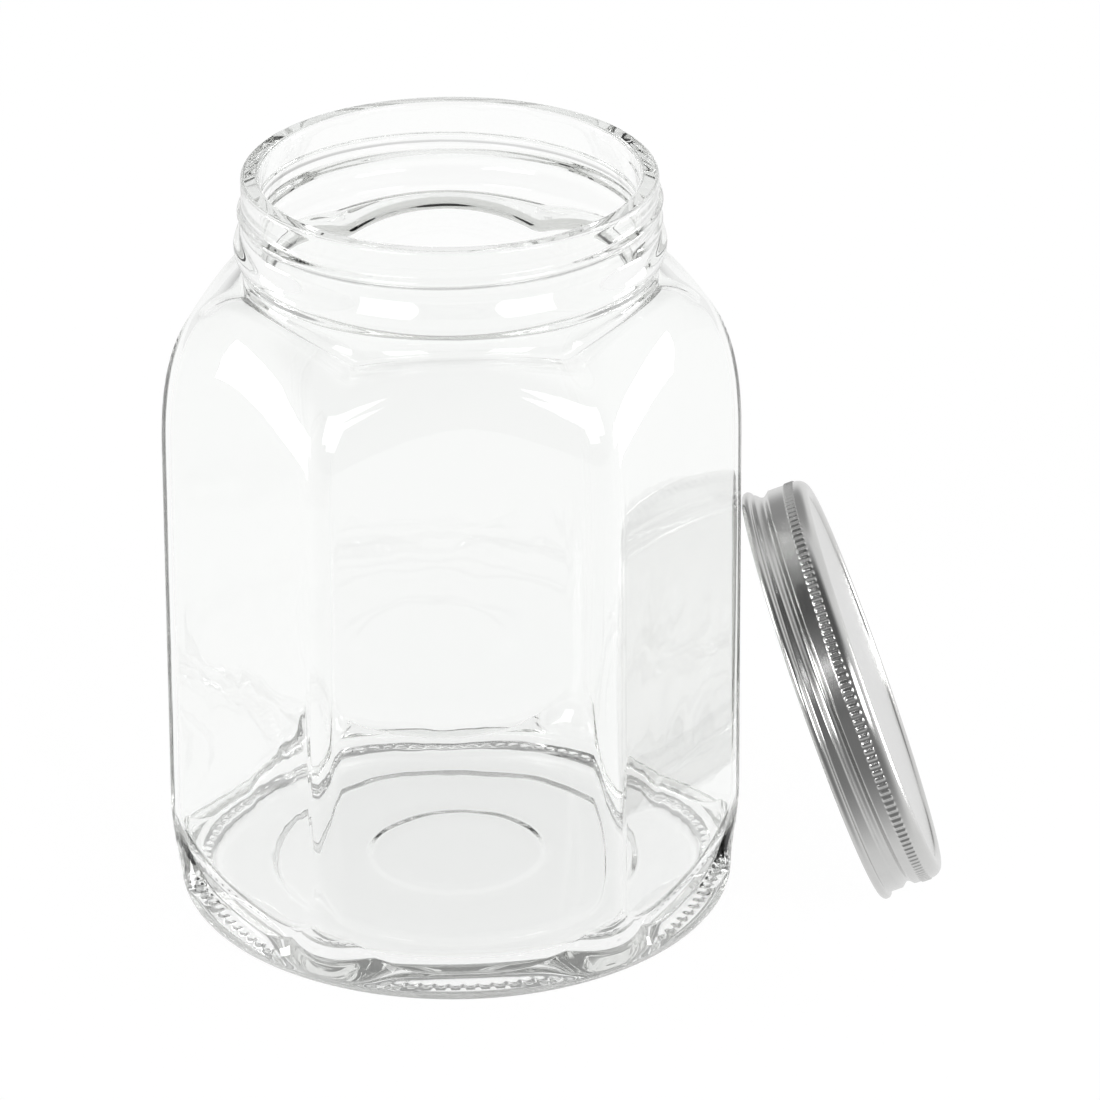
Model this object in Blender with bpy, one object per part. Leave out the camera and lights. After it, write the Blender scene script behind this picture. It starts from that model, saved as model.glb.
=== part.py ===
"""Hexagonal glass candle jar with its metal screw lid off and leaning against it. Metres, +Z up."""

from math import atan2, cos, degrees, pi, radians, sin, tan

import bmesh
import bpy
from mathutils import Matrix, Vector

MM = 0.001

# Driving dimensions, in millimetres.
JAR_HEIGHT = 184.0
JAR_AXIS_X = -24.0  # the jar stands this far to the left of the middle of the pair
FACETS = 6
FLAT_APOTHEM = 61.0  # jar axis to the middle of a flat panel, low on the body
CORNER_FILLET = 6.0  # radius of the body's upright corners
BODY_TAPER = 0.6  # how much narrower the body is at the shoulder
FOOT_RADIUS = 67.4
FOOT_EDGE_HEIGHT = 3.2
BEARING_RING = (57.0, 63.5)  # inner and outer radius of the flat ring that the jar stands on
PUSH_UP = 3.0  # height of the underside at the jar's axis
LEDGE_TOP_AT_CORNER = 22.0  # where the foot's flare meets the upright corners
LEDGE_TOP_AT_FLAT = 4.9  # where the foot's ledge meets the flat panels
LEDGE_SWEEP = 1.5  # how the ledge climbs towards the corners: 1 is straight, more stays low for longer
SHOULDER_START = 113.0
SHOULDER_TOP_AT_CORNER = 154.6
SHOULDER_TOP_AT_FLAT = 158.6
CORNER_FULLNESS = 2.5  # exponent of the shoulder's curve: 2 is an ellipse, more is boxier
FLAT_FULLNESS = 2.7
BODY_WALL = 2.9
FLOOR_THICKNESS = 5.0
FLOOR_DISH = 0.6  # the cavity's floor falls by this much from the middle to its edge
FLOOR_EDGE_RADIUS = 52.0  # the cavity's floor is round, and the cove leads from it up to the hexagon
COVE_HEIGHT = 8.5
NECK_RADIUS = 48.7
NECK_BORE_RADIUS = 44.4
RIM_EDGE = 0.9  # rounding of the rim's two edges
BEAD_HEIGHT = 166.8  # middle of the round bead below the thread
BEAD_HALF_WIDTH = 5.2
BEAD_DEPTH = 2.0
THREAD_PITCH = 5.08
THREAD_DEPTH = 1.0
THREAD_HALF_WIDTH = 1.5
JAR_THREAD_HEIGHT = 172.7  # thread centre where it passes the +X side for the first time
JAR_THREAD_TURN = (-35.0, 385.0)  # degrees about the jar's axis where it starts and ends

LID_TILT = 19.9  # degrees that the leaning lid is off upright
LID_TURN = -0.8  # degrees about +Z that its axis is off +X
LID_FROM_JAR = (86.25, -8.8)  # middle of the lid's open edge from the jar's axis, seen from above
LID_CURL_RADIUS = 51.9
LID_CURL_THICKNESS = 2.2
LID_CURL_FOLD = 0.5  # height at which the curl's inner side meets the skirt
LID_WALL_START = 2.6  # height at which the skirt leaves the curl
LID_WALL_RADIUS = 50.6
LID_SHEET = 0.45
LID_HEIGHT = 15.8
LID_PANEL_HEIGHT = 14.9
LID_KNURL_BAND = (10.2, 12.9)
LID_KNURL_DEPTH = 0.3
LID_KNURL_RAMP = 0.3  # height over which the skirt steps out to the knurled band
LID_RING_RADIUS = 47.8  # crest of the raised ring round the top panel
LID_RING_HALF_WIDTH = 2.0
LID_PANEL_MARGIN = 1.0  # the flat panel ends this far inside the raised ring's foot
LID_THREAD_HEIGHT = 4.9  # groove centre above the open edge, at the lid's upper side
LID_THREAD_TURN = (-60.0, 330.0)
LID_THREAD_DEPTH = 1.15
LID_THREAD_HALF_WIDTH = 1.7
THREAD_RUN_OUT = 22.0  # degrees over which a thread fades at each end
LINER_RADIUS = 48.6
LINER_THICKNESS = 0.9
GAP = 0.3

# How finely each shape is divided.
JAR_SEGMENTS = 72
LID_SEGMENTS = 72
THREAD_STEP = 0.65  # spacing of the rings that carry a thread
BEAD_STEP = 1.2
OUTER_SHOULDER_STEPS = 11
INNER_SHOULDER_STEPS = 8
COVE_STEPS = 5
EDGE_STEPS = 3
CURL_STEPS = 5
CROWN_STEPS = 4
PUSH_UP_SHARES = (0.3, 0.65, 0.88)  # rings of the underside, as shares of the bearing ring's inner radius
LEDGE_SHARES = (0.3, 0.55, 0.8, 1.0)  # rings of the foot's ledge, as shares of its height

HALF_FACET = pi / FACETS
CORNER_CENTRE = (FLAT_APOTHEM - CORNER_FILLET) / cos(HALF_FACET)
CORNER_RADIUS = CORNER_CENTRE + CORNER_FILLET


def body_radius(from_flat):
    """Radius of the filleted hexagon, at an angle measured from the middle of a flat."""
    from_corner = HALF_FACET - abs(from_flat)
    fillet_end = atan2(CORNER_FILLET * sin(HALF_FACET), CORNER_CENTRE + CORNER_FILLET * cos(HALF_FACET))
    if from_corner >= fillet_end:
        return FLAT_APOTHEM / cos(from_flat)
    half_chord = (CORNER_CENTRE * sin(from_corner)) ** 2
    return CORNER_CENTRE * cos(from_corner) + (CORNER_FILLET**2 - half_chord) ** 0.5


def flatness(angle):
    """1 in the middle of a flat panel, 0 at an upright corner; the corners lie at 0, 60, 120... degrees."""
    from_corner = (angle + HALF_FACET) % (2 * HALF_FACET) - HALF_FACET
    from_flat = HALF_FACET - abs(from_corner)
    return (CORNER_RADIUS - body_radius(from_flat)) / (CORNER_RADIUS - FLAT_APOTHEM)


def facet_ring(at_corner, at_flat, sweep=1.0):
    """A ring of the jar's wall, given its (radius, height) at the corners and at the middles of the flats."""
    ring = []
    for step in range(JAR_SEGMENTS):
        angle = 2 * pi * step / JAR_SEGMENTS
        share = flatness(angle)
        radius = at_corner[0] + (at_flat[0] - at_corner[0]) * share
        height = at_flat[1] + (at_corner[1] - at_flat[1]) * (1 - share) ** sweep
        ring.append(Vector((radius * cos(angle), radius * sin(angle), height)))
    return ring


def round_ring(radius, height, segments):
    """A plain ring; the radius may be a function of the angle in radians."""
    ring = []
    for step in range(segments):
        angle = 2 * pi * step / segments
        here = radius(angle) if callable(radius) else radius
        ring.append(Vector((here * cos(angle), here * sin(angle), height)))
    return ring


def arc(centre, size, start, end, steps):
    """Points (radius, height) along an elliptical arc, angles in degrees from the outward direction."""
    points = []
    for step in range(steps + 1):
        angle = radians(start + (end - start) * step / steps)
        points.append((centre[0] + size[0] * cos(angle), centre[1] + size[1] * sin(angle)))
    return points


def dome(outer, inner, fullness, steps):
    """Points (radius, height) of a shoulder that leaves the wall upright and reaches the neck level."""
    points = []
    for step in range(steps + 1):
        angle = pi / 2 * step / steps
        across = cos(angle) ** (2 / fullness) if step < steps else 0.0
        up = sin(angle) ** (2 / fullness)
        points.append((inner[0] + (outer[0] - inner[0]) * across, outer[1] + (inner[1] - outer[1]) * up))
    return points


def smooth_bump(offset, half_width):
    """A rounded bump: 1 at offset 0, falling to 0 at half_width."""
    if abs(offset) >= half_width:
        return 0.0
    return 0.5 + 0.5 * cos(pi * offset / half_width)


def thread_share(angle, height, first_height, turn, half_width):
    """How much of a helical thread's depth stands at this place, 0 to 1."""
    share = 0.0
    for lap in (-360.0, 0.0, 360.0):
        turned = degrees(angle) + lap
        if not turn[0] < turned < turn[1]:
            continue
        centre = first_height + THREAD_PITCH * turned / 360.0
        fade = min(1.0, (turned - turn[0]) / THREAD_RUN_OUT, (turn[1] - turned) / THREAD_RUN_OUT)
        share = max(share, fade * smooth_bump(height - centre, half_width) ** 0.6)
    return share


def neck_radius(angle, height):
    """Outside of the neck, with its bead and its thread."""
    bead = BEAD_DEPTH * smooth_bump(height - BEAD_HEIGHT, BEAD_HALF_WIDTH) ** 0.7
    thread = THREAD_DEPTH * thread_share(
        angle, height, JAR_THREAD_HEIGHT, JAR_THREAD_TURN, THREAD_HALF_WIDTH
    )
    return NECK_RADIUS + max(bead, thread)


def spaced(low, high, step):
    """Evenly spaced heights from low to high, about step apart."""
    count = max(1, round((high - low) / step))
    return [low + (high - low) * i / count for i in range(count + 1)]


def foot_ledge():
    """Rings where the round foot turns into the hexagonal body."""
    rings = []
    for share in LEDGE_SHARES:
        corner_height = FOOT_EDGE_HEIGHT + (LEDGE_TOP_AT_CORNER - FOOT_EDGE_HEIGHT) * share
        corner_radius = FOOT_RADIUS + (CORNER_RADIUS - FOOT_RADIUS) * sin(pi / 2 * share)
        flat_height = FOOT_EDGE_HEIGHT + (LEDGE_TOP_AT_FLAT - FOOT_EDGE_HEIGHT) * share**2
        flat_radius = FOOT_RADIUS + (FLAT_APOTHEM - FOOT_RADIUS) * share
        corner, flat = (corner_radius, corner_height), (flat_radius, flat_height)
        rings.append(facet_ring(corner, flat, sweep=LEDGE_SWEEP))
    return rings


def shoulder(wall, neck, steps):
    """Rings from the body's wall up to the neck, for a surface that lies wall inside the jar's skin."""
    at_corner = dome(
        (CORNER_RADIUS - wall - BODY_TAPER, SHOULDER_START),
        (neck, SHOULDER_TOP_AT_CORNER - wall),
        CORNER_FULLNESS,
        steps,
    )
    at_flat = dome(
        (FLAT_APOTHEM - wall - BODY_TAPER, SHOULDER_START),
        (neck, SHOULDER_TOP_AT_FLAT - wall),
        FLAT_FULLNESS,
        steps,
    )
    return [facet_ring(corner, flat) for corner, flat in zip(at_corner, at_flat)]


def underside():
    """Rings of the shallow push-up under the jar, out to the flat bearing ring."""
    rings = []
    for share in PUSH_UP_SHARES:
        height = PUSH_UP * (1 - share**2)
        rings.append(round_ring(BEARING_RING[0] * share, height, JAR_SEGMENTS))
    for radius in BEARING_RING:
        rings.append(round_ring(radius, 0.0, JAR_SEGMENTS))
    return rings


def jar_outside():
    """Rings from the middle of the underside up to the rim's outer edge."""
    rings = underside()
    heel = (FOOT_RADIUS - BEARING_RING[1], FOOT_EDGE_HEIGHT)
    for radius, height in arc((BEARING_RING[1], FOOT_EDGE_HEIGHT), heel, -60, 0, EDGE_STEPS):
        rings.append(round_ring(radius, height, JAR_SEGMENTS))
    rings += foot_ledge()
    rings += shoulder(0.0, NECK_RADIUS, OUTER_SHOULDER_STEPS)
    thread_foot = JAR_THREAD_HEIGHT + THREAD_PITCH * JAR_THREAD_TURN[0] / 360 - THREAD_HALF_WIDTH
    thread_head = JAR_THREAD_HEIGHT + THREAD_PITCH * JAR_THREAD_TURN[1] / 360 + THREAD_HALF_WIDTH
    heights = spaced(BEAD_HEIGHT - BEAD_HALF_WIDTH, thread_foot - BEAD_STEP, BEAD_STEP)
    heights += spaced(thread_foot, thread_head, THREAD_STEP)
    for height in heights:
        rings.append(round_ring(lambda angle: neck_radius(angle, height), height, JAR_SEGMENTS))
    rim = (NECK_RADIUS - RIM_EDGE, JAR_HEIGHT - RIM_EDGE)
    for radius, height in arc(rim, (RIM_EDGE, RIM_EDGE), 0, 90, EDGE_STEPS):
        rings.append(round_ring(radius, height, JAR_SEGMENTS))
    return rings


def jar_inside():
    """Rings from the rim's inner edge down to the floor of the cavity."""
    rings = []
    rim = (NECK_BORE_RADIUS + RIM_EDGE, JAR_HEIGHT - RIM_EDGE)
    for radius, height in arc(rim, (RIM_EDGE, RIM_EDGE), 90, 180, EDGE_STEPS):
        rings.append(round_ring(radius, height, JAR_SEGMENTS))
    rings += reversed(shoulder(BODY_WALL, NECK_BORE_RADIUS, INNER_SHOULDER_STEPS))
    floor = PUSH_UP + FLOOR_THICKNESS
    cove_centre = (FLOOR_EDGE_RADIUS, floor - FLOOR_DISH + COVE_HEIGHT)
    corner_cove = (CORNER_RADIUS - BODY_WALL - FLOOR_EDGE_RADIUS, COVE_HEIGHT)
    flat_cove = (FLAT_APOTHEM - BODY_WALL - FLOOR_EDGE_RADIUS, COVE_HEIGHT)
    at_corner = arc(cove_centre, corner_cove, 0, -90, COVE_STEPS)
    at_flat = arc(cove_centre, flat_cove, 0, -90, COVE_STEPS)
    for corner, flat in zip(at_corner, at_flat):
        rings.append(facet_ring(corner, flat))
    rings.append(round_ring(BEARING_RING[0] / 2, floor - FLOOR_DISH / 3, JAR_SEGMENTS))
    return rings


def lid_outer_radius(angle, height):
    """Outside of the lid's skirt above the curl: the rolled thread groove and the knurled band."""
    groove = LID_THREAD_DEPTH * thread_share(
        angle, height, LID_THREAD_HEIGHT, LID_THREAD_TURN, LID_THREAD_HALF_WIDTH
    )
    in_band = LID_KNURL_BAND[0] <= height <= LID_KNURL_BAND[1]
    return LID_WALL_RADIUS - groove + (LID_KNURL_DEPTH if in_band else 0.0)


def lid_rings():
    """Rings from the middle of the lid's top panel, down its outside, round the curl and up its inside."""
    ring_foot = LID_RING_RADIUS - LID_RING_HALF_WIDTH
    rings = [round_ring(ring_foot - LID_PANEL_MARGIN, LID_PANEL_HEIGHT, LID_SEGMENTS)]
    crown = (LID_RING_HALF_WIDTH, LID_HEIGHT - LID_PANEL_HEIGHT)
    for radius, height in arc((LID_RING_RADIUS, LID_PANEL_HEIGHT), crown, 165, 90, EDGE_STEPS):
        rings.append(round_ring(radius, height, LID_SEGMENTS))
    edge = (LID_WALL_RADIUS + LID_KNURL_DEPTH - LID_RING_RADIUS, LID_HEIGHT - LID_KNURL_BAND[1])
    for radius, height in arc((LID_RING_RADIUS, LID_KNURL_BAND[1]), edge, 65, 0, CROWN_STEPS):
        rings.append(round_ring(radius, height, LID_SEGMENTS))
    skirt = spaced(LID_WALL_START, LID_KNURL_BAND[0] - LID_KNURL_RAMP, THREAD_STEP)
    for height in [LID_KNURL_BAND[0]] + skirt[::-1]:
        rings.append(round_ring(lambda angle: lid_outer_radius(angle, height), height, LID_SEGMENTS))
    curl = LID_CURL_THICKNESS / 2
    for radius, height in arc((LID_CURL_RADIUS - curl, curl), (curl, curl), 60, -90, CURL_STEPS):
        rings.append(round_ring(radius, height, LID_SEGMENTS))
    inner = LID_WALL_RADIUS - LID_SHEET
    rings.append(round_ring(inner, LID_CURL_FOLD, LID_SEGMENTS))
    for height in skirt:
        rings.append(
            round_ring(lambda angle: lid_outer_radius(angle, height) - LID_SHEET, height, LID_SEGMENTS)
        )
    inner_edge = (inner - LID_RING_RADIUS, LID_HEIGHT - LID_SHEET - LID_KNURL_BAND[1])
    for radius, height in arc((LID_RING_RADIUS, LID_KNURL_BAND[1]), inner_edge, 0, 90, CROWN_STEPS):
        rings.append(round_ring(radius, height, LID_SEGMENTS))
    rings.append(round_ring(ring_foot, LID_PANEL_HEIGHT - LID_SHEET, LID_SEGMENTS))
    return rings


def closed_mesh(name, rings, first_pole, last_pole):
    """A closed body: neighbouring rings joined by quads, and each end closed by a fan to its pole."""
    mesh_maker = bmesh.new()
    loops = [[mesh_maker.verts.new(point * MM) for point in ring] for ring in rings]
    for low, high in zip(loops, loops[1:]):
        for here in range(len(low)):
            there = (here + 1) % len(low)
            mesh_maker.faces.new((low[here], low[there], high[there], high[here]))
    for loop, pole in ((loops[0], first_pole), (loops[-1], last_pole)):
        tip = mesh_maker.verts.new(Vector((0.0, 0.0, pole)) * MM)
        for here in range(len(loop)):
            there = (here + 1) % len(loop)
            mesh_maker.faces.new((loop[there], loop[here], tip))
    for face in mesh_maker.faces:
        face.smooth = True
    bmesh.ops.recalc_face_normals(mesh_maker, faces=mesh_maker.faces)
    mesh = bpy.data.meshes.new(name)
    mesh_maker.to_mesh(mesh)
    mesh_maker.free()
    mesh.set_sharp_from_angle(angle=radians(35))
    return mesh


def add_node(name, mesh, material):
    """One named object in the scene, with its own material."""
    node = bpy.data.objects.new(name, mesh)
    node.data.materials.append(material)
    bpy.context.collection.objects.link(node)
    return node


def plain_material(name, colour, roughness, metallic=0.0, transmission=0.0):
    """A Principled BSDF material."""
    material = bpy.data.materials.new(name)
    material.use_nodes = True
    shader = material.node_tree.nodes["Principled BSDF"]
    shader.inputs["Base Color"].default_value = (*colour, 1.0)
    shader.inputs["Roughness"].default_value = roughness
    shader.inputs["Metallic"].default_value = metallic
    shader.inputs["Transmission Weight"].default_value = transmission
    return material


def make_jar():
    """The moulded glass jar: one closed wall, open at the mouth."""
    rings = jar_outside() + jar_inside()
    mesh = closed_mesh("glass_jar", rings, PUSH_UP, PUSH_UP + FLOOR_THICKNESS)
    glass = plain_material("clear_glass", (0.92, 0.94, 0.93), 0.02, transmission=1.0)
    jar = add_node("glass_jar", mesh, glass)
    jar.location = Vector((JAR_AXIS_X, 0.0, 0.0)) * MM


def lid_placement():
    """The lid's own frame in the world: Z from the open edge to the top, X up the lean."""
    turn = Matrix.Rotation(radians(LID_TURN), 4, "Z")
    along = turn @ Vector((cos(radians(LID_TILT)), 0.0, sin(radians(LID_TILT))))
    upward = turn @ Vector((-sin(radians(LID_TILT)), 0.0, cos(radians(LID_TILT))))
    sideways = along.cross(upward)
    # The lowest point of the curl touches the table.
    lowest = (LID_CURL_RADIUS - LID_CURL_THICKNESS / 2) * cos(radians(LID_TILT))
    lowest += LID_CURL_THICKNESS / 2 - LID_CURL_THICKNESS / 2 * sin(radians(LID_TILT))
    place = Matrix((upward, sideways, along)).transposed().to_4x4()
    place.translation = Vector((JAR_AXIS_X + LID_FROM_JAR[0], LID_FROM_JAR[1], lowest)) * MM
    return place


def tip_over_pivot(place):
    """Where the leaning lid turns: on the table, so placed that a fall ends with the lid flat on its top."""
    fall = radians(90 + LID_TILT)
    # It lands on the crest of its raised ring.
    lower_edge = place @ (Vector((-LID_RING_RADIUS, 0.0, LID_HEIGHT)) * MM)
    away = lower_edge.z / tan(fall)
    outward = (place.to_3x3() @ Vector((0, 0, 1))).xy.normalized()
    return Vector((lower_edge.x - outward.x * away, lower_edge.y - outward.y * away, 0.0))


def make_lid():
    """The pressed metal lid and the liner inside it, both hung on an empty at the tipping axis."""
    place = lid_placement()
    pivot = bpy.data.objects.new("lid_tip_axis", None)
    pivot.location = tip_over_pivot(place)
    bpy.context.collection.objects.link(pivot)
    tin = plain_material("bright_tin", (0.62, 0.62, 0.61), 0.3, metallic=1.0)
    foam = plain_material("white_foam", (0.9, 0.9, 0.88), 0.7)
    shell = closed_mesh("lid_shell", lid_rings(), LID_PANEL_HEIGHT, LID_PANEL_HEIGHT - LID_SHEET)
    liner_top = LID_PANEL_HEIGHT - LID_SHEET - GAP
    liner_rings = [
        round_ring(LINER_RADIUS, liner_top, LID_SEGMENTS),
        round_ring(LINER_RADIUS, liner_top - LINER_THICKNESS, LID_SEGMENTS),
    ]
    liner = closed_mesh("lid_liner", liner_rings, liner_top, liner_top - LINER_THICKNESS)
    for name, mesh, material in (("lid_shell", shell, tin), ("lid_liner", liner, foam)):
        node = add_node(name, mesh, material)
        node.parent = pivot
        node.matrix_basis = Matrix.Translation(-pivot.location) @ place


def main():
    for old in list(bpy.data.objects):
        bpy.data.objects.remove(old)
    make_jar()
    make_lid()


main()
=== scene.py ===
"""Looks for the hexagonal glass candle jar and its metal screw lid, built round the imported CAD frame."""

from math import atan2, cos, degrees, pi, radians, sin

import bmesh
import bpy
from mathutils import Matrix, Vector, noise


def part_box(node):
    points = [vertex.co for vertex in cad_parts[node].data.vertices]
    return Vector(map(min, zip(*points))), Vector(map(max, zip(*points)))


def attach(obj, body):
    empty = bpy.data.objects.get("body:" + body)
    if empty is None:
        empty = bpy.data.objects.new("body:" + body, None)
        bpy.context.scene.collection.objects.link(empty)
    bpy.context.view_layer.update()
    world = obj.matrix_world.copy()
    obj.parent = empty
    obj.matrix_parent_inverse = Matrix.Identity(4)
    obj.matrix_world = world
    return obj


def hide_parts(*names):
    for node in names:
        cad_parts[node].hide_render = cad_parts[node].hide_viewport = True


MM = 0.001

# The jar, in millimetres about its own axis. The outer sizes are the CAD part's.
JAR_HEIGHT = 184.0
FACETS = 6
FLAT_APOTHEM = 61.0
CORNER_FILLET = 6.0
BODY_TAPER = 0.6
FOOT_RADIUS = 67.4
FOOT_EDGE_HEIGHT = 3.2
BEARING_RADIUS = 63.5  # where the underside turns up into the foot's edge
HEEL_ARC = (-82.0, 0.0)  # from nearly level at the bearing ring to upright at the foot's edge, in degrees
PUSH_UP = 3.0
LEDGE_TOP_AT_CORNER = 22.0
LEDGE_TOP_AT_FLAT = 4.9
LEDGE_SWEEP = 1.5  # how the ledge climbs towards the corners: 1 is straight, more stays low for longer
WALL_START_SHARES = (0.003, 0.008, 0.016, 0.03)  # rings close above the ledge, as shares of the wall's height
WALL_SHARES = (0.05, 0.97, 0.04)  # first, last and step of the rings above those
SHOULDER_START = 113.0
SHOULDER_TOP_AT_CORNER = 154.6
SHOULDER_TOP_AT_FLAT = 158.6
CORNER_FULLNESS = 2.5  # how full the shoulder's curve is: 2 is an ellipse, more is squarer
FLAT_FULLNESS = 2.7
BODY_WALL = 2.9
FLOOR_TOP = 7.0  # height of the cavity's floor at its middle
FLOOR_DISH = 2.0  # how much lower the floor is at its edge
FLOOR_EDGE_RADIUS = 54.0  # the floor is round, and the cove leads from it up to the hexagon
FLOOR_RING_SHARES = (0.95, 0.85, 0.7, 0.55, 0.4, 0.25, 0.1)
COVE_AT_CORNER = 15.0  # height of the cove at the corners and at the flats
COVE_AT_FLAT = 6.0
COVE_FULLNESS = 2.0
NECK_RADIUS = 48.7
NECK_BORE_RADIUS = 44.4
BORE_START_DEPTH = 3.0  # below the rim's top, where the bore's plain rings start
BORE_FILLET = 2.4  # rounding where the neck's bore opens into the shoulder
BORE_FILLET_ARC = (180.0, 262.0)  # from the bore's wall to nearly level, in degrees
RIM_EDGE = 0.9
NECK_TOP_GAP = 0.3  # between the neck's last ring and the rim's rounded edge
BEAD_HEIGHT = 166.8
BEAD_HALF_WIDTH = 5.2
BEAD_DEPTH = 2.0
BEAD_FULLNESS = 0.7  # powers below 1 fatten a bump: this one the bead, the next the threads
THREAD_FULLNESS = 0.6
THREAD_PITCH = 5.08
THREAD_DEPTH = 1.0
THREAD_HALF_WIDTH = 1.5
JAR_THREAD_HEIGHT = 172.7
JAR_THREAD_TURN = (-35.0, 385.0)
SEAM_HEIGHT = 0.12  # fine ridges where the halves of the mould met, front and back
SEAM_HALF_ANGLE = radians(0.8)
STIPPLE_BARS = 112  # short radial bars that the jar stands on
STIPPLE_BAND = (60.2, 62.6)
STIPPLE_DEPTH = 0.3
STIPPLE_FULLNESS = (0.5, 0.8)  # powers that fatten the bars, along them and across them
# The underside from its middle outwards: (radius, height).
UNDERSIDE = (
    (8.0, 3.0),
    (16.0, 2.95),
    (19.6, 2.9),
    (20.4, 2.8),
    (21.2, 2.5),
    (22.0, 2.4),
    (26.0, 2.35),
    (34.0, 2.2),
    (40.0, 2.05),
    (42.2, 1.95),
    (42.9, 1.8),
    (43.5, 1.3),
    (44.1, 0.95),
    (44.9, 0.85),
    (48.0, 0.8),
    (54.0, 0.7),
    (57.5, 0.6),
    (59.4, 0.5),
)
WAVE_DEPTH = 0.17  # how far the blown inner wall wanders
WAVE_FADE = 25.0  # and over what height that fades at the wall's ends
WAVE_ROUND = 2.1  # how quickly it changes round the jar
WAVE_LENGTH = 34.0  # and up it, in millimetres
WAVE_DETAIL = 0.35  # share of the finer waves
WAVE_DETAIL_SCALE = 2.7

# The lid, in millimetres in its own frame: Z runs from the open edge to the top.
LID_TILT = 19.9
LID_TURN = -0.8
LID_FROM_JAR = (86.25, -8.8)
LID_CURL_RADIUS = 51.9
LID_CURL_THICKNESS = 2.2
LID_CURL_ARC = (84.0, -90.0)  # round the outside of the curl, down to its lowest line
LID_LIP = ((0.3, 0.12), (0.0, 0.5))  # from the curl to the wall: (distance outside its inner face, height)
LID_WALL_START = 2.6
LID_WALL_RADIUS = 50.6
LID_SHEET = 0.45
LID_HEIGHT = 15.8
LID_PANEL_HEIGHT = 14.9
LID_PANEL_RADII = (12.0, 24.0, 34.0, 42.0, 44.8)
LID_KNURL_BAND = (10.2, 12.9)
LID_KNURL_DEPTH = 0.3
LID_KNURLS = 168
LID_KNURL_END = 0.35  # rounding of the bars' ends
LID_KNURL_CRISPNESS = 0.75  # how steep the bars' flanks are
LID_KNURL_END_STEPS = (0.0, 0.12, 0.24, 0.4)  # rings that follow the rounded ends
LID_RING_RADIUS = 47.8
LID_RING_HALF_WIDTH = 2.0
LID_CROWN_ARC = (176.0, 90.0)  # over the raised ring, from the panel to its top
LID_EDGE_ARC = (84.0, 8.0)  # from the ring's top down to the knurled band
LID_SHARP_ANGLE = 50.0  # edges sharper than this many degrees are not smoothed over
LID_THREAD_HEIGHT = 4.9
LID_THREAD_TURN = (-60.0, 330.0)
LID_THREAD_DEPTH = 1.15
LID_THREAD_HALF_WIDTH = 1.7
THREAD_RUN_OUT = 22.0
LINER_RADIUS = 48.6
LINER_THICKNESS = 0.9
LINER_GAP = 0.3
LINER_EDGE = 0.25
LINER_FACE_RADII = (20.0, 40.0)
LINER_DENT_DEPTH = 0.22  # where the jar's rim has pressed it
LINER_DENT_HALF_WIDTH = 2.0
LINER_DENT_INSET = 0.3  # how far inside the middle of the rim the dent lies
LINER_DENT_SPAN = (1.8, -2.4)  # its first and last ring, from the middle of the rim

# How finely the surfaces are divided: points in a ring, rings in a curve, and steps in millimetres.
JAR_SEGMENTS = 336
STIPPLE_SEGMENTS = 672
LID_SEGMENTS = 336
KNURL_SEGMENTS = 1344
HEEL_RINGS = 12
LEDGE_RINGS = 20
SHOULDER_RINGS = 48
INNER_SHOULDER_RINGS = 36
RIM_RINGS = 8
BORE_FILLET_RINGS = 8
COVE_RINGS = 30
CROWN_RINGS = 12
LID_EDGE_RINGS = 14
CURL_RINGS = 18
LID_INNER_EDGE_RINGS = 12
STIPPLE_STEP = 0.3
NECK_STEP = 0.25
BORE_STEP = 2.0
INNER_WALL_STEP = 2.5
KNURL_STEP = 0.4
SKIRT_STEP = 0.2
LINER_DENT_STEP = 0.3

# Materials: linear colours, noise scales per metre, and bumps as (strength, distance in metres).
GLASS_COLOUR = (0.99, 0.995, 0.99, 1.0)
GLASS_IOR = 1.5
GLASS_SKIN_SCALE = 60.0
GLASS_SKIN_BUMP = (0.15, 0.0004)
GLASS_TINT = (0.60, 0.61, 0.585, 1.0)
GLASS_DENSITY = 5.5
TIN_COLOURS = ((0.60, 0.60, 0.595, 1.0), (0.70, 0.70, 0.69, 1.0))
TIN_ROUGHNESS = (0.16, 0.26)
TIN_MOTTLE_SCALE = 90.0
TIN_GRAIN_SCALE = 2600.0
TIN_GRAIN_ROUGHNESS = 0.6
TIN_GRAIN_BUMP = (0.12, 0.00005)
FOAM_COLOURS = ((0.80, 0.80, 0.78, 1.0), (0.90, 0.90, 0.88, 1.0))
FOAM_ROUGHNESS = 0.65
FOAM_MOTTLE_SCALE = 300.0
FOAM_PORE_SCALE = 1800.0
FOAM_PORE_BUMP = (0.3, 0.00008)
FINE_DETAIL = 3.0  # octaves of the finer noises

# The camera, in metres and degrees.
CAMERA_PLACE = (-0.0843, -1.2636, 0.6952)
CAMERA_TURN = (64.30, 0.107, -3.83)
CAMERA_LENS = 191.8
CAMERA_SENSOR = 36.0
CAMERA_CLIP = (0.05, 50.0)
LIGHT_BOUNCES = 40

# The studio floor, in metres, just under the pieces. It gives most of its own light.
STAGE_HALF_SIDE = 12.0
STAGE_HEIGHT = -0.0002
STAGE_COLOUR = (0.05, 0.05, 0.05, 1.0)
STAGE_ROUGHNESS = 0.9
STAGE_GLOW = 0.97
WHITE = (1.0, 1.0, 1.0, 1.0)

# The room: white, but darker in soft-edged cones (direction, inner and outer angle in degrees, light), which
# lie behind the camera, overhead on its left, and above the far side of the object.
ROOM_LIGHT = 0.88
ROOM_PATCHES = (
    ((0.0, -1.0, 0.2), 20.0, 95.0, 0.22),
    ((-0.35, -0.45, 0.82), 25.0, 65.0, 0.1),
    ((0.0, 0.85, 0.5), 12.0, 34.0, 0.35),
)

LIGHT_AIM = (0.0, 0.0, 0.1)
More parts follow.
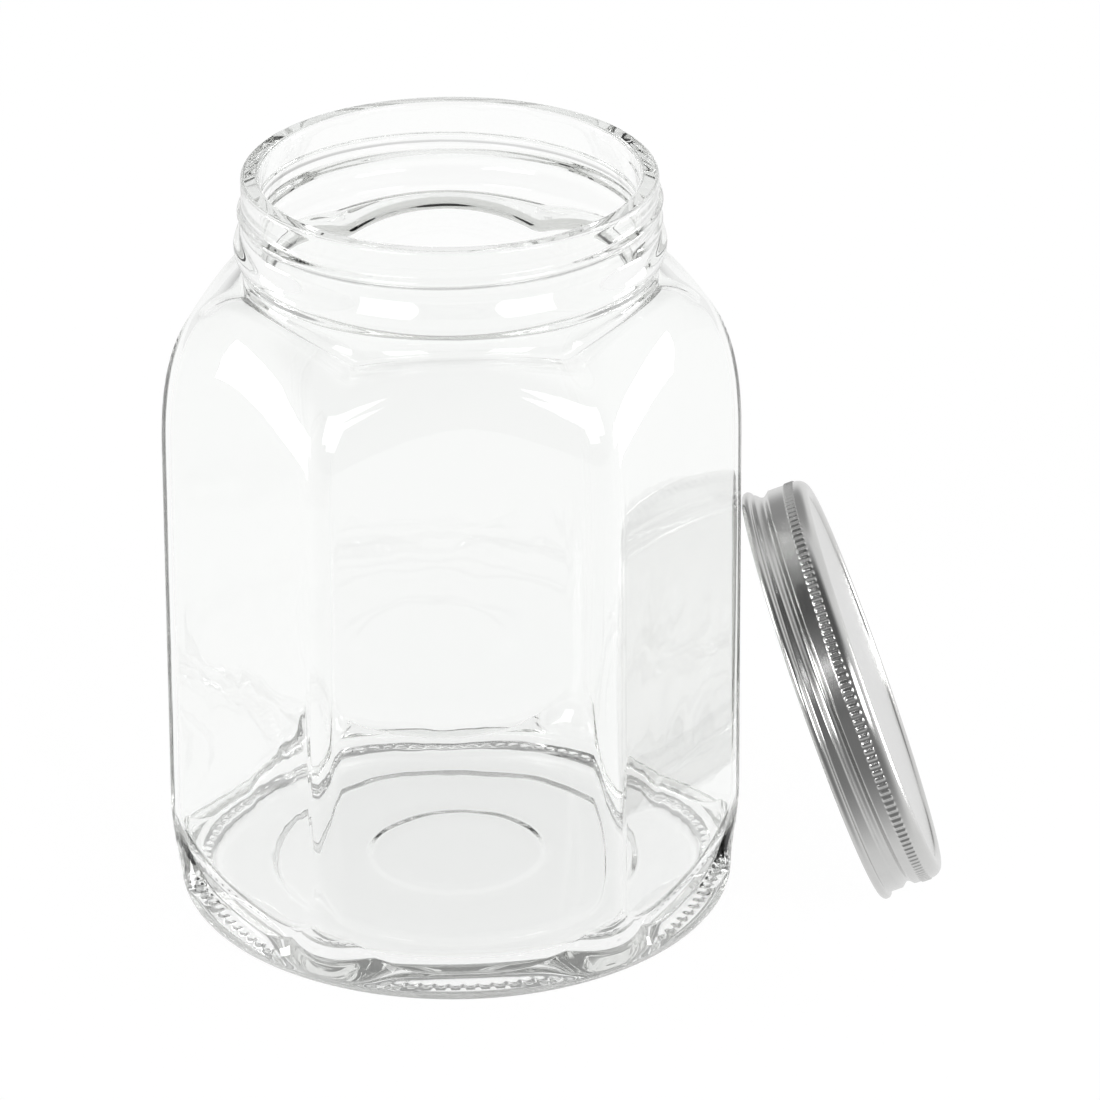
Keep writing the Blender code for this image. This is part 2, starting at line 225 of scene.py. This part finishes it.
# Softboxes: place in metres, (width, height) in metres, power in watts.
SOFTBOXES = (
    ((-1.26, -1.61, 1.04), (1.1, 0.9), 17.0),
    ((1.26, -1.61, 1.04), (1.1, 0.9), 17.0),
    ((-2.0, 0.6, 0.0), (0.7, 0.7), 14.0),
    ((2.0, 0.6, 0.0), (0.7, 0.7), 14.0),
)

HALF_FACET = pi / FACETS
CORNER_CENTRE = (FLAT_APOTHEM - CORNER_FILLET) / cos(HALF_FACET)
CORNER_RADIUS = CORNER_CENTRE + CORNER_FILLET


# ---------------------------------------------------------------- profiles


def body_radius(from_flat):
    """Radius of the filleted hexagon, at an angle measured from the middle of a flat."""
    from_corner = HALF_FACET - abs(from_flat)
    fillet_end = atan2(CORNER_FILLET * sin(HALF_FACET), CORNER_CENTRE + CORNER_FILLET * cos(HALF_FACET))
    if from_corner >= fillet_end:
        return FLAT_APOTHEM / cos(from_flat)
    sideways = CORNER_CENTRE * sin(from_corner)
    return CORNER_CENTRE * cos(from_corner) + (CORNER_FILLET**2 - sideways**2) ** 0.5


def flatness(angle):
    """1 in the middle of a flat panel, 0 at an upright corner; the corners lie at 0, 60, 120... degrees."""
    from_corner = (angle + HALF_FACET) % (2 * HALF_FACET) - HALF_FACET
    from_flat = HALF_FACET - abs(from_corner)
    return (CORNER_RADIUS - body_radius(from_flat)) / (CORNER_RADIUS - FLAT_APOTHEM)


def around(segments):
    """The angles of a ring's points, in radians."""
    return [2 * pi * step / segments for step in range(segments)]


def facet_ring(at_corner, at_flat, wave=0.0, sweep=1.0):
    """A ring of the jar's wall, from its (radius, height) at the corners and at the flats.

    wave is how far the ring wanders in and out; a sweep above 1 keeps its height low for longer on the way
    from a flat to a corner.
    """
    ring = []
    for angle in around(JAR_SEGMENTS):
        share = flatness(angle)
        radius = at_corner[0] + (at_flat[0] - at_corner[0]) * share
        height = at_flat[1] + (at_corner[1] - at_flat[1]) * (1 - share) ** sweep
        if wave:
            radius += wave * wander(angle, height)
        ring.append(Vector((radius * cos(angle), radius * sin(angle), height)))
    return ring


def wander(angle, height):
    """A smooth uneven field, about -1 to 1, for the free inner side of blown glass."""
    place = Vector((WAVE_ROUND * cos(angle), WAVE_ROUND * sin(angle), height / WAVE_LENGTH))
    return noise.noise(place) + WAVE_DETAIL * noise.noise(place * WAVE_DETAIL_SCALE)


def round_ring(radius, height, segments):
    """A plain ring; radius and height may each be a function of the angle in radians."""
    ring = []
    for angle in around(segments):
        out = radius(angle) if callable(radius) else radius
        up = height(angle) if callable(height) else height
        ring.append(Vector((out * cos(angle), out * sin(angle), up)))
    return ring


def plain_rings(profile, segments):
    """A plain ring for each (radius, height) of a profile."""
    return [round_ring(radius, height, segments) for radius, height in profile]


def arc(centre, size, start, end, steps):
    """Points (radius, height) along an elliptical arc, angles in degrees from the outward direction."""
    points = []
    for step in range(steps + 1):
        angle = radians(start + (end - start) * step / steps)
        points.append((centre[0] + size[0] * cos(angle), centre[1] + size[1] * sin(angle)))
    return points


def dome(outer, inner, fullness, steps):
    """Points (radius, height) of a curve that is upright at its outer end and level at its inner end."""
    points = []
    for step in range(steps + 1):
        angle = pi / 2 * step / steps
        across = cos(angle) ** (2 / fullness) if step < steps else 0.0
        up = sin(angle) ** (2 / fullness)
        points.append((inner[0] + (outer[0] - inner[0]) * across, outer[1] + (inner[1] - outer[1]) * up))
    return points


def smooth_bump(offset, half_width):
    """A rounded bump: 1 at offset 0, falling to 0 at half_width."""
    if abs(offset) >= half_width:
        return 0.0
    return 0.5 + 0.5 * cos(pi * offset / half_width)


def smooth_step(value):
    """0 up to 0, 1 from 1 on, with a soft rise between."""
    held = min(1.0, max(0.0, value))
    return held * held * (3 - 2 * held)


def thread_share(angle, height, first_height, turn, half_width):
    """How much of a helical thread's depth stands at this place, 0 to 1."""
    share = 0.0
    for lap in (-360.0, 0.0, 360.0):
        turned = degrees(angle) + lap
        if not turn[0] < turned < turn[1]:
            continue
        centre = first_height + THREAD_PITCH * turned / 360.0
        fade = min(1.0, (turned - turn[0]) / THREAD_RUN_OUT, (turn[1] - turned) / THREAD_RUN_OUT)
        share = max(share, fade * smooth_bump(height - centre, half_width) ** THREAD_FULLNESS)
    return share


def spaced(first, last, step):
    """Evenly spaced values from first to last, either way, about step apart."""
    count = max(1, round(abs(last - first) / step))
    return [first + (last - first) * i / count for i in range(count + 1)]


# ---------------------------------------------------------------- the jar


def seam_ridge(angle):
    """The mould seam, front and back."""
    off = min(abs(angle - pi / 2), abs(angle - 3 * pi / 2))
    return SEAM_HEIGHT * smooth_bump(off, SEAM_HALF_ANGLE)


def neck_radius(angle, height):
    """Outside of the neck, with its bead, its thread and the mould seam."""
    bead = BEAD_DEPTH * smooth_bump(height - BEAD_HEIGHT, BEAD_HALF_WIDTH) ** BEAD_FULLNESS
    thread = THREAD_DEPTH * thread_share(
        angle, height, JAR_THREAD_HEIGHT, JAR_THREAD_TURN, THREAD_HALF_WIDTH
    )
    return NECK_RADIUS + max(bead, thread) + seam_ridge(angle)


def foot_ledge():
    """Rings where the round foot turns into the hexagonal body."""
    rings = []
    for step in range(1, LEDGE_RINGS + 1):
        share = step / LEDGE_RINGS
        corner_height = FOOT_EDGE_HEIGHT + (LEDGE_TOP_AT_CORNER - FOOT_EDGE_HEIGHT) * share
        corner_radius = FOOT_RADIUS + (CORNER_RADIUS - FOOT_RADIUS) * sin(pi / 2 * share)
        flat_height = FOOT_EDGE_HEIGHT + (LEDGE_TOP_AT_FLAT - FOOT_EDGE_HEIGHT) * share**2
        flat_radius = FOOT_RADIUS + (FLAT_APOTHEM - FOOT_RADIUS) * share
        corner, flat = (corner_radius, corner_height), (flat_radius, flat_height)
        rings.append(facet_ring(corner, flat, sweep=LEDGE_SWEEP))
    return rings


def body_wall_outside():
    """Rings up the panels, close together above the ledge so that its crease stays crisp."""
    rings = []
    for share in WALL_START_SHARES + tuple(spaced(*WALL_SHARES)):
        corner_height = LEDGE_TOP_AT_CORNER + (SHOULDER_START - LEDGE_TOP_AT_CORNER) * share
        flat_height = LEDGE_TOP_AT_FLAT + (SHOULDER_START - LEDGE_TOP_AT_FLAT) * share
        corner = (CORNER_RADIUS - BODY_TAPER * share, corner_height)
        flat = (FLAT_APOTHEM - BODY_TAPER * share, flat_height)
        rings.append(facet_ring(corner, flat, sweep=LEDGE_SWEEP))
    return rings


def shoulder(wall, neck, steps):
    """Rings from the body's wall up to the neck, for a surface that lies wall inside the jar's skin."""
    at_corner = dome(
        (CORNER_RADIUS - wall - BODY_TAPER, SHOULDER_START),
        (neck, SHOULDER_TOP_AT_CORNER - wall),
        CORNER_FULLNESS,
        steps,
    )
    at_flat = dome(
        (FLAT_APOTHEM - wall - BODY_TAPER, SHOULDER_START),
        (neck, SHOULDER_TOP_AT_FLAT - wall),
        FLAT_FULLNESS,
        steps,
    )
    return [facet_ring(corner, flat) for corner, flat in zip(at_corner, at_flat)]


def stipple_height(angle, radius):
    """Height of the underside in the stippled band: bars reach the table and the gaps stay clear of it."""
    middle = sum(STIPPLE_BAND) / 2
    half = (STIPPLE_BAND[1] - STIPPLE_BAND[0]) / 2
    along = max(0.0, 1 - ((radius - middle) / half) ** 2)
    across = 0.5 + 0.5 * cos(STIPPLE_BARS * angle)
    along_power, across_power = STIPPLE_FULLNESS
    return STIPPLE_DEPTH * (1 - along**along_power * across**across_power)


def underside():
    """Rings of the jar's underside, from its middle to the outer edge of the stippled band."""
    rings = plain_rings(UNDERSIDE, JAR_SEGMENTS)
    for radius in spaced(*STIPPLE_BAND, STIPPLE_STEP):
        rings.append(round_ring(radius, lambda angle: stipple_height(angle, radius), STIPPLE_SEGMENTS))
    return rings


def jar_outside():
    """Rings from the middle of the underside up to the top of the rim."""
    heel_size = (FOOT_RADIUS - BEARING_RADIUS, FOOT_EDGE_HEIGHT)
    heel = arc((BEARING_RADIUS, FOOT_EDGE_HEIGHT), heel_size, *HEEL_ARC, HEEL_RINGS)
    rings = underside()
    rings += plain_rings(heel, JAR_SEGMENTS)
    rings += foot_ledge()
    rings += body_wall_outside()
    rings += shoulder(0.0, NECK_RADIUS, SHOULDER_RINGS)
    neck_top = JAR_HEIGHT - RIM_EDGE - NECK_TOP_GAP
    for height in spaced(BEAD_HEIGHT - BEAD_HALF_WIDTH, neck_top, NECK_STEP):
        rings.append(round_ring(lambda angle: neck_radius(angle, height), height, JAR_SEGMENTS))
    rim = (NECK_RADIUS - RIM_EDGE, JAR_HEIGHT - RIM_EDGE)
    rings += plain_rings(arc(rim, (RIM_EDGE, RIM_EDGE), 0, 90, RIM_RINGS), JAR_SEGMENTS)
    return rings


def body_wall_inside():
    """Rings of the inner wall between the shoulder and the cove, uneven as blown glass is."""
    low = FLOOR_TOP - FLOOR_DISH + COVE_AT_CORNER
    rings = []
    for height in spaced(SHOULDER_START, low, INNER_WALL_STEP)[1:-1]:
        taper = BODY_TAPER * (height - low) / (SHOULDER_START - low)
        corner = (CORNER_RADIUS - BODY_WALL - taper, height)
        flat = (FLAT_APOTHEM - BODY_WALL - taper, height)
        fade = smooth_step((height - low) / WAVE_FADE) * smooth_step((SHOULDER_START - height) / WAVE_FADE)
        rings.append(facet_ring(corner, flat, WAVE_DEPTH * fade))
    return rings


def cove():
    """Rings from the inner wall down to the round edge of the cavity's floor."""
    low = FLOOR_TOP - FLOOR_DISH
    edge = (FLOOR_EDGE_RADIUS, low)
    at_corner = dome((CORNER_RADIUS - BODY_WALL, low + COVE_AT_CORNER), edge, COVE_FULLNESS, COVE_RINGS)
    at_flat = dome((FLAT_APOTHEM - BODY_WALL, low + COVE_AT_FLAT), edge, COVE_FULLNESS, COVE_RINGS)
    return [facet_ring(corner, flat, sweep=LEDGE_SWEEP) for corner, flat in zip(at_corner, at_flat)]


def bore_fillet():
    """Rings of the rounded edge where the neck's bore opens into the shoulder."""
    rings = []
    centre = (NECK_BORE_RADIUS + BORE_FILLET, 0.0)
    for radius, rise in arc(centre, (BORE_FILLET, BORE_FILLET), *BORE_FILLET_ARC, BORE_FILLET_RINGS):
        top_at_corner = SHOULDER_TOP_AT_CORNER - BODY_WALL + BORE_FILLET + rise
        top_at_flat = SHOULDER_TOP_AT_FLAT - BODY_WALL + BORE_FILLET + rise
        rings.append(facet_ring((radius, top_at_corner), (radius, top_at_flat)))
    return rings


def jar_inside():
    """Rings from the top of the rim down to the floor of the cavity."""
    rim = (NECK_BORE_RADIUS + RIM_EDGE, JAR_HEIGHT - RIM_EDGE)
    rings = plain_rings(arc(rim, (RIM_EDGE, RIM_EDGE), 90, 180, RIM_RINGS), JAR_SEGMENTS)
    for height in spaced(JAR_HEIGHT - BORE_START_DEPTH, SHOULDER_TOP_AT_FLAT + BORE_STEP, BORE_STEP):
        rings.append(round_ring(NECK_BORE_RADIUS, height, JAR_SEGMENTS))
    rings += bore_fillet()
    inner_shoulder = shoulder(BODY_WALL, NECK_BORE_RADIUS + BORE_FILLET, INNER_SHOULDER_RINGS)
    rings += inner_shoulder[-2::-1]
    rings += body_wall_inside()
    rings += cove()
    for share in FLOOR_RING_SHARES:
        height = FLOOR_TOP - FLOOR_DISH * share**2
        rings.append(round_ring(share * FLOOR_EDGE_RADIUS, height, JAR_SEGMENTS))
    return rings


# ---------------------------------------------------------------- the lid


def lid_groove(angle, height):
    """Depth of the lid's pressed thread."""
    return LID_THREAD_DEPTH * thread_share(
        angle, height, LID_THREAD_HEIGHT, LID_THREAD_TURN, LID_THREAD_HALF_WIDTH
    )


def knurl(angle, height):
    """How far the knurled band stands out: bars with rounded tops and ends."""
    low, high = LID_KNURL_BAND
    along = smooth_step((height - low) / LID_KNURL_END) * smooth_step((high - height) / LID_KNURL_END)
    bar = smooth_step(0.5 + LID_KNURL_CRISPNESS * cos(LID_KNURLS * angle))
    return LID_KNURL_DEPTH * along * bar


def lid_top():
    """Rings from the middle of the lid's top panel, over its raised ring and down to the knurled band."""
    band_top = LID_KNURL_BAND[1]
    crown_size = (LID_RING_HALF_WIDTH, LID_HEIGHT - LID_PANEL_HEIGHT)
    edge_size = (LID_WALL_RADIUS - LID_RING_RADIUS, LID_HEIGHT - band_top)
    profile = [(radius, LID_PANEL_HEIGHT) for radius in LID_PANEL_RADII]
    profile += arc((LID_RING_RADIUS, LID_PANEL_HEIGHT), crown_size, *LID_CROWN_ARC, CROWN_RINGS)
    profile += arc((LID_RING_RADIUS, band_top), edge_size, *LID_EDGE_ARC, LID_EDGE_RINGS)
    return plain_rings(profile, LID_SEGMENTS)


def knurled_band():
    """Rings down the knurled band, closer together at its ends."""
    low, high = LID_KNURL_BAND
    heights = [high - step for step in LID_KNURL_END_STEPS]
    heights += spaced(high - 2 * KNURL_STEP, low + 2 * KNURL_STEP, KNURL_STEP)
    heights += [low + step for step in LID_KNURL_END_STEPS[::-1]]
    rings = []
    for height in heights:
        rings.append(
            round_ring(lambda angle: LID_WALL_RADIUS + knurl(angle, height), height, KNURL_SEGMENTS)
        )
    return rings


def lid_skirt(radius):
    """Rings up the threaded skirt, for its outer or its inner face."""
    rings = []
    for height in spaced(LID_WALL_START, LID_KNURL_BAND[0] - SKIRT_STEP, SKIRT_STEP):
        rings.append(round_ring(lambda angle: radius - lid_groove(angle, height), height, LID_SEGMENTS))
    return rings


def lid_rings():
    """Rings from the middle of the lid's top panel, down its outside, round the curl and up its inside."""
    curl = LID_CURL_THICKNESS / 2
    inner = LID_WALL_RADIUS - LID_SHEET
    edge_size = (inner - LID_RING_RADIUS, LID_HEIGHT - LID_SHEET - LID_KNURL_BAND[1])
    round_curl = arc((LID_CURL_RADIUS - curl, curl), (curl, curl), *LID_CURL_ARC, CURL_RINGS)
    round_curl += [(inner + out, height) for out, height in LID_LIP]
    under_panel = arc((LID_RING_RADIUS, LID_KNURL_BAND[1]), edge_size, 0, 90, LID_INNER_EDGE_RINGS)
    under_panel.append((LID_RING_RADIUS - LID_RING_HALF_WIDTH, LID_PANEL_HEIGHT - LID_SHEET))
    rings = lid_top() + knurled_band() + lid_skirt(LID_WALL_RADIUS)[::-1]
    rings += plain_rings(round_curl, LID_SEGMENTS)
    rings += lid_skirt(inner)
    rings += plain_rings(under_panel, LID_SEGMENTS)
    return rings


def liner_rings():
    """The liner's rings, and the heights of its faces: a disc with soft edges, dented by the jar's rim."""
    top = LID_PANEL_HEIGHT - LID_SHEET - LINER_GAP
    low = top - LINER_THICKNESS
    face_edge = LINER_RADIUS - LINER_EDGE
    profile = [(radius, top) for radius in LINER_FACE_RADII + (face_edge,)]
    profile += [(LINER_RADIUS, top - LINER_EDGE), (LINER_RADIUS, low + LINER_EDGE), (face_edge, low)]
    rim_middle = (NECK_RADIUS + NECK_BORE_RADIUS) / 2
    first, last = LINER_DENT_SPAN
    for radius in spaced(rim_middle + first, rim_middle + last, LINER_DENT_STEP):
        from_dent = radius - rim_middle + LINER_DENT_INSET
        profile.append((radius, low + LINER_DENT_DEPTH * smooth_bump(from_dent, LINER_DENT_HALF_WIDTH)))
    profile += [(radius, low) for radius in LINER_FACE_RADII[::-1]]
    return plain_rings(profile, LID_SEGMENTS), top, low


# ---------------------------------------------------------------- meshes


def bridge(maker, low, high):
    """Faces between two neighbouring rings, whose point counts may differ by a whole factor."""
    if len(low) == len(high):
        for here in range(len(low)):
            there = (here + 1) % len(low)
            maker.faces.new((low[here], low[there], high[there], high[here]))
        return
    coarse, fine = (low, high) if len(low) < len(high) else (high, low)
    flip = coarse is high
    factor = len(fine) // len(coarse)
    for here in range(len(coarse)):
        near, far = coarse[here], coarse[(here + 1) % len(coarse)]
        run = [fine[(here * factor + step) % len(fine)] for step in range(factor + 1)]
        half = factor // 2
        faces = [(near, run[i + 1], run[i]) for i in range(half)]
        faces.append((near, far, run[half]))
        faces += [(far, run[i + 1], run[i]) for i in range(half, factor)]
        for face in faces:
            maker.faces.new(face[::-1] if flip else face)


def closed_mesh(name, rings, first_pole, last_pole, sharp_angle=None):
    """A closed body: neighbouring rings joined, and each end closed by a fan to its pole."""
    maker = bmesh.new()
    loops = [[maker.verts.new(point * MM) for point in ring] for ring in rings]
    for low, high in zip(loops, loops[1:]):
        bridge(maker, low, high)
    for loop, pole in ((loops[0], first_pole), (loops[-1], last_pole)):
        tip = maker.verts.new(Vector((0.0, 0.0, pole)) * MM)
        for here in range(len(loop)):
            there = (here + 1) % len(loop)
            maker.faces.new((loop[there], loop[here], tip))
    for face in maker.faces:
        face.smooth = True
    bmesh.ops.recalc_face_normals(maker, faces=maker.faces)
    mesh = bpy.data.meshes.new(name)
    maker.to_mesh(mesh)
    maker.free()
    if sharp_angle:
        mesh.set_sharp_from_angle(angle=radians(sharp_angle))
    return mesh


def add_piece(name, mesh, material, place, body, node):
    """One visible piece in the row frame, riding its CAD body and standing for its CAD node."""
    mesh.transform(place)
    piece = bpy.data.objects.new(name, mesh)
    piece.data.materials.append(material)
    bpy.context.scene.collection.objects.link(piece)
    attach(piece, body)
    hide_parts(node)


def jar_place():
    """The jar's axis, from the CAD jar's box."""
    low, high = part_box("glass_jar")
    return Matrix.Translation(((low.x + high.x) / 2, 0.0, 0.0))


def lid_place():
    """The lid's own frame in the row frame: Z from the open edge to the top, X up the lean."""
    turn = Matrix.Rotation(radians(LID_TURN), 4, "Z")
    along = turn @ Vector((cos(radians(LID_TILT)), 0.0, sin(radians(LID_TILT))))
    upward = turn @ Vector((-sin(radians(LID_TILT)), 0.0, cos(radians(LID_TILT))))
    sideways = along.cross(upward)
    lowest = (LID_CURL_RADIUS - LID_CURL_THICKNESS / 2) * cos(radians(LID_TILT))
    lowest += LID_CURL_THICKNESS / 2 - LID_CURL_THICKNESS / 2 * sin(radians(LID_TILT))
    place = Matrix((upward, sideways, along)).transposed().to_4x4()
    jar_x = jar_place().translation.x
    place.translation = Vector((jar_x + LID_FROM_JAR[0] * MM, LID_FROM_JAR[1] * MM, lowest * MM))
    return place


# ---------------------------------------------------------------- materials


class Nodes:
    """A short way to build a material's node tree."""

    def __init__(self, name):
        self.material = bpy.data.materials.new(name)
        self.material.use_nodes = True
        self.tree = self.material.node_tree
        self.shader = self.tree.nodes["Principled BSDF"]
        self.output = self.tree.nodes["Material Output"]

    def add(self, kind):
        return self.tree.nodes.new(kind)

    def join(self, source, target):
        self.tree.links.new(source, target)

    def position(self):
        """Object coordinates."""
        return self.add("ShaderNodeTexCoord").outputs["Object"]

    def noise(self, vector, scale, detail=2.0, roughness=0.5):
        node = self.add("ShaderNodeTexNoise")
        node.inputs["Scale"].default_value = scale
        node.inputs["Detail"].default_value = detail
        node.inputs["Roughness"].default_value = roughness
        self.join(vector, node.inputs["Vector"])
        return node.outputs["Fac"]

    def range(self, value, low, high):
        node = self.add("ShaderNodeMapRange")
        node.inputs["To Min"].default_value = low
        node.inputs["To Max"].default_value = high
        self.join(value, node.inputs["Value"])
        return node.outputs["Result"]

    def ramp(self, value, colours):
        """A blend between two colours."""
        node = self.add("ShaderNodeValToRGB")
        for element, colour in zip(node.color_ramp.elements, colours):
            element.color = colour
        self.join(value, node.inputs["Fac"])
        return node.outputs["Color"]

    def bump(self, height, strength, distance):
        node = self.add("ShaderNodeBump")
        node.inputs["Strength"].default_value = strength
        node.inputs["Distance"].default_value = distance
        self.join(height, node.inputs["Height"])
        return node.outputs["Normal"]


def clear_glass():
    """Moulded soda-lime glass: clear, faintly grey-green in its thickness, its skin very slightly uneven."""
    nodes = Nodes("clear_glass")
    shader = nodes.shader
    shader.inputs["Base Color"].default_value = GLASS_COLOUR
    shader.inputs["Roughness"].default_value = 0.0
    shader.inputs["IOR"].default_value = GLASS_IOR
    shader.inputs["Transmission Weight"].default_value = 1.0
    skin = nodes.noise(nodes.position(), GLASS_SKIN_SCALE)
    nodes.join(nodes.bump(skin, *GLASS_SKIN_BUMP), shader.inputs["Normal"])
    absorb = nodes.add("ShaderNodeVolumeAbsorption")
    absorb.inputs["Color"].default_value = GLASS_TINT
    absorb.inputs["Density"].default_value = GLASS_DENSITY
    nodes.join(absorb.outputs["Volume"], nodes.output.inputs["Volume"])
    return nodes.material


def bright_tin():
    """Silver tinplate: a satin sheen with fine grain and faint mottling."""
    nodes = Nodes("bright_tin")
    shader = nodes.shader
    shader.inputs["Metallic"].default_value = 1.0
    place = nodes.position()
    mottle = nodes.noise(place, TIN_MOTTLE_SCALE, FINE_DETAIL)
    grain = nodes.noise(place, TIN_GRAIN_SCALE, FINE_DETAIL, TIN_GRAIN_ROUGHNESS)
    nodes.join(nodes.ramp(mottle, TIN_COLOURS), shader.inputs["Base Color"])
    nodes.join(nodes.range(mottle, *TIN_ROUGHNESS), shader.inputs["Roughness"])
    nodes.join(nodes.bump(grain, *TIN_GRAIN_BUMP), shader.inputs["Normal"])
    return nodes.material


def white_foam():
    """Soft foamed plastic with fine pores."""
    nodes = Nodes("white_foam")
    shader = nodes.shader
    place = nodes.position()
    mottle = nodes.noise(place, FOAM_MOTTLE_SCALE, FINE_DETAIL)
    nodes.join(nodes.ramp(mottle, FOAM_COLOURS), shader.inputs["Base Color"])
    shader.inputs["Roughness"].default_value = FOAM_ROUGHNESS
    pores = nodes.add("ShaderNodeTexVoronoi")
    pores.inputs["Scale"].default_value = FOAM_PORE_SCALE
    nodes.join(place, pores.inputs["Vector"])
    nodes.join(nodes.bump(pores.outputs["Distance"], *FOAM_PORE_BUMP), shader.inputs["Normal"])
    return nodes.material


# ---------------------------------------------------------------- studio


def studio_floor():
    """A plain pale floor that glows evenly, so that it shows white under the glass."""
    mesh = bpy.data.meshes.new("floor")
    side = STAGE_HALF_SIDE
    corners = [(-side, -side), (side, -side), (side, side), (-side, side)]
    mesh.from_pydata([(x, y, STAGE_HEIGHT) for x, y in corners], [], [(0, 1, 2, 3)])
    floor = bpy.data.objects.new("floor", mesh)
    bpy.context.scene.collection.objects.link(floor)
    floor.visible_glossy = False
    floor.visible_shadow = False
    nodes = Nodes("pale_floor")
    nodes.shader.inputs["Base Color"].default_value = STAGE_COLOUR
    nodes.shader.inputs["Roughness"].default_value = STAGE_ROUGHNESS
    nodes.shader.inputs["Specular IOR Level"].default_value = 0.0
    nodes.shader.inputs["Emission Color"].default_value = WHITE
    nodes.shader.inputs["Emission Strength"].default_value = STAGE_GLOW
    floor.data.materials.append(nodes.material)


def room_patch(tree, coordinate, before, direction, inner, outer, light):
    """Blends the light before towards light, inside a soft-edged cone round a direction."""
    toward = tree.nodes.new("ShaderNodeVectorMath")
    toward.operation = "DOT_PRODUCT"
    toward.inputs[1].default_value = Vector(direction).normalized()
    tree.links.new(coordinate.outputs["Generated"], toward.inputs[0])
    share = tree.nodes.new("ShaderNodeMapRange")
    share.interpolation_type = "SMOOTHSTEP"
    share.inputs["From Min"].default_value = cos(radians(outer))
    share.inputs["From Max"].default_value = cos(radians(inner))
    tree.links.new(toward.outputs["Value"], share.inputs["Value"])
    blend = tree.nodes.new("ShaderNodeMix")
    tree.links.new(share.outputs["Result"], blend.inputs["Factor"])
    tree.links.new(before, blend.inputs["A"])
    blend.inputs["B"].default_value = light
    return blend.outputs["Result"]


def studio_room():
    """A soft white room with the darker patches of ROOM_PATCHES."""
    world = bpy.data.worlds.new("studio")
    bpy.context.scene.world = world
    world.use_nodes = True
    tree = world.node_tree
    coordinate = tree.nodes.new("ShaderNodeTexCoord")
    room = tree.nodes.new("ShaderNodeValue")
    room.outputs["Value"].default_value = ROOM_LIGHT
    light = room.outputs["Value"]
    for direction, inner, outer, strength in ROOM_PATCHES:
        light = room_patch(tree, coordinate, light, direction, inner, outer, strength)
    background = tree.nodes["Background"]
    tree.links.new(light, background.inputs["Strength"])
    background.inputs["Color"].default_value = WHITE


def softbox(place, size, power):
    """A rectangular area light that faces the object."""
    light = bpy.data.lights.new("softbox", "AREA")
    light.shape = "RECTANGLE"
    light.size, light.size_y = size
    light.energy = power
    lamp = bpy.data.objects.new("softbox", light)
    lamp.location = place
    lamp.rotation_euler = (Vector(LIGHT_AIM) - Vector(place)).to_track_quat("-Z", "Y").to_euler()
    bpy.context.scene.collection.objects.link(lamp)


def studio():
    """Floor, room, softboxes and camera."""
    studio_floor()
    studio_room()
    for place, size, power in SOFTBOXES:
        softbox(place, size, power)
    camera = bpy.data.cameras.new("camera")
    camera.lens = CAMERA_LENS
    camera.sensor_width = CAMERA_SENSOR
    camera.clip_start, camera.clip_end = CAMERA_CLIP
    view = bpy.data.objects.new("camera", camera)
    view.location = CAMERA_PLACE
    view.rotation_euler = [radians(turn) for turn in CAMERA_TURN]
    bpy.context.scene.collection.objects.link(view)
    bpy.context.scene.camera = view
    bpy.context.scene.view_settings.view_transform = "Standard"
    paths = bpy.context.scene.cycles
    paths.max_bounces = LIGHT_BOUNCES
    paths.transmission_bounces = LIGHT_BOUNCES
    paths.glossy_bounces = LIGHT_BOUNCES


def main():
    """The three pieces and the studio."""
    jar_mesh = closed_mesh("jar_glass", jar_outside() + jar_inside(), PUSH_UP, FLOOR_TOP)
    add_piece("jar_glass", jar_mesh, clear_glass(), jar_place(), "jar", "glass_jar")
    top, low = LID_PANEL_HEIGHT, LID_PANEL_HEIGHT - LID_SHEET
    lid_mesh = closed_mesh("lid_tin", lid_rings(), top, low, LID_SHARP_ANGLE)
    add_piece("lid_tin", lid_mesh, bright_tin(), lid_place(), "lid", "lid_shell")
    rings, top, low = liner_rings()
    liner_mesh = closed_mesh("lid_foam", rings, top, low, LID_SHARP_ANGLE)
    add_piece("lid_foam", liner_mesh, white_foam(), lid_place(), "lid", "lid_liner")
    studio()


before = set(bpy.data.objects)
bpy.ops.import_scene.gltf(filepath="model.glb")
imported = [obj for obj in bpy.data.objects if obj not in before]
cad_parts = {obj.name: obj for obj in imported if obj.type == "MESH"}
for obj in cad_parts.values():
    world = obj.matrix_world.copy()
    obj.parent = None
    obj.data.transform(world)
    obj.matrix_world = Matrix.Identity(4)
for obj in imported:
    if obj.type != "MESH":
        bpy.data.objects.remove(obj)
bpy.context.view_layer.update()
main()
bpy.context.view_layer.update()
